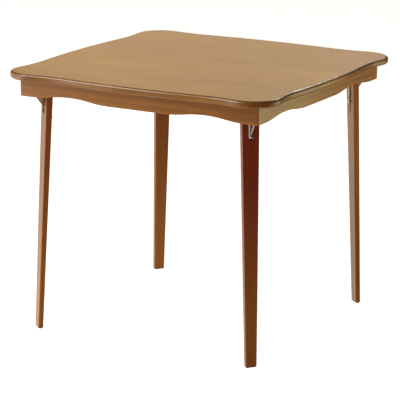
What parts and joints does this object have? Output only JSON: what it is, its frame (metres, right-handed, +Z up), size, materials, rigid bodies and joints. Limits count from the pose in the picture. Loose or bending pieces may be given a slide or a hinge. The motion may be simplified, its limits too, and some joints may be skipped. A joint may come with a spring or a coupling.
{
  "type": "folding table",
  "caption": "Square folding card table with a scalloped wooden top and apron, and flat tapered legs that fold inwards on steel hinge plates with sliding catches.",
  "frame": {"origin": "on the floor, under the middle of the top", "axes": "+Z up; +Y towards the back side, so the front side faces -Y; +X to the right"},
  "size_m": [0.8128, 0.8128, 0.728],
  "materials": {
    "top_wood": "satin lacquered veneer, golden tan",
    "apron_wood": "satin lacquered solid wood, warm brown",
    "leg_wood": "satin lacquered solid wood, warm brown",
    "plain_wood": "unfinished hardwood",
    "zinc_steel": "zinc plated",
    "catch_steel": "bright zinc plated",
    "spring_steel": "oiled spring wire",
    "screw_steel": "yellow zinc plated",
    "glide_plastic": "dark brown nylon"
  },
  "bodies": {
    "table": {"tabletop": "top_wood", "apron_front": "apron_wood", "apron_right": "apron_wood", "apron_back": "apron_wood", "apron_left": "apron_wood", "cleat_front": "plain_wood", "cleat_right": "plain_wood", "cleat_back": "plain_wood", "cleat_left": "plain_wood", "cleat_screws": "screw_steel", "block_screws": "screw_steel", "plate_rivets": "screw_steel", "corner_block_front_left": "plain_wood", "hinge_plate_front_left": "zinc_steel", "corner_block_front_right": "plain_wood", "hinge_plate_front_right": "zinc_steel", "corner_block_back_right": "plain_wood", "hinge_plate_back_right": "zinc_steel", "corner_block_back_left": "plain_wood", "hinge_plate_back_left": "zinc_steel"},
    "folding_leg_front_left": {"leg_front_left": "leg_wood", "hinge_pin_front_left": "zinc_steel", "hinge_washers_front_left": "zinc_steel", "catch_pin_front_left": "zinc_steel", "catch_spring_front_left": "spring_steel", "foot_glide_front_left": "glide_plastic"},
    "sliding_catch_front_left": {"catch_front_left": "catch_steel"},
    "folding_leg_front_right": {"leg_front_right": "leg_wood", "hinge_pin_front_right": "zinc_steel", "hinge_washers_front_right": "zinc_steel", "catch_pin_front_right": "zinc_steel", "catch_spring_front_right": "spring_steel", "foot_glide_front_right": "glide_plastic"},
    "sliding_catch_front_right": {"catch_front_right": "catch_steel"},
    "folding_leg_back_right": {"leg_back_right": "leg_wood", "hinge_pin_back_right": "zinc_steel", "hinge_washers_back_right": "zinc_steel", "catch_pin_back_right": "zinc_steel", "catch_spring_back_right": "spring_steel", "foot_glide_back_right": "glide_plastic"},
    "sliding_catch_back_right": {"catch_back_right": "catch_steel"},
    "folding_leg_back_left": {"leg_back_left": "leg_wood", "hinge_pin_back_left": "zinc_steel", "hinge_washers_back_left": "zinc_steel", "catch_pin_back_left": "zinc_steel", "catch_spring_back_left": "spring_steel", "foot_glide_back_left": "glide_plastic"},
    "sliding_catch_back_left": {"catch_back_left": "catch_steel"}
  },
  "joints": [
    {"name": "fold_leg_front_left", "type": "hinge", "parent": "table", "child": "folding_leg_front_left", "pos_m": [-0.30971, -0.30971, 0.686], "axis": [0.7716, -0.6361, 0], "range_deg": [0, 93.8]},
    {"name": "slide_catch_front_left", "type": "slide", "parent": "folding_leg_front_left", "child": "sliding_catch_front_left", "axis": [-0.0293, -0.0355, -0.9989], "range_m": [-0.004, 0.004], "stiffness_N_per_m": 300, "springref_m": -0.012, "deforming": ["catch_spring_front_left"]},
    {"name": "fold_leg_front_right", "type": "hinge", "parent": "table", "child": "folding_leg_front_right", "pos_m": [0.30971, -0.30971, 0.686], "axis": [0.6361, 0.7716, 0], "range_deg": [0, 91.4]},
    {"name": "slide_catch_front_right", "type": "slide", "parent": "folding_leg_front_right", "child": "sliding_catch_front_right", "axis": [0.0355, -0.0293, -0.9989], "range_m": [-0.004, 0.004], "stiffness_N_per_m": 300, "springref_m": -0.012, "deforming": ["catch_spring_front_right"]},
    {"name": "fold_leg_back_right", "type": "hinge", "parent": "table", "child": "folding_leg_back_right", "pos_m": [0.30971, 0.30971, 0.686], "axis": [-0.7716, 0.6361, 0], "range_deg": [0, 93.8]},
    {"name": "slide_catch_back_right", "type": "slide", "parent": "folding_leg_back_right", "child": "sliding_catch_back_right", "axis": [0.0293, 0.0355, -0.9989], "range_m": [-0.004, 0.004], "stiffness_N_per_m": 300, "springref_m": -0.012, "deforming": ["catch_spring_back_right"]},
    {"name": "fold_leg_back_left", "type": "hinge", "parent": "table", "child": "folding_leg_back_left", "pos_m": [-0.30971, 0.30971, 0.686], "axis": [-0.6361, -0.7716, 0], "range_deg": [0, 91.4]},
    {"name": "slide_catch_back_left", "type": "slide", "parent": "folding_leg_back_left", "child": "sliding_catch_back_left", "axis": [-0.0355, 0.0293, -0.9989], "range_m": [-0.004, 0.004], "stiffness_N_per_m": 300, "springref_m": -0.012, "deforming": ["catch_spring_back_left"]}
  ]
}
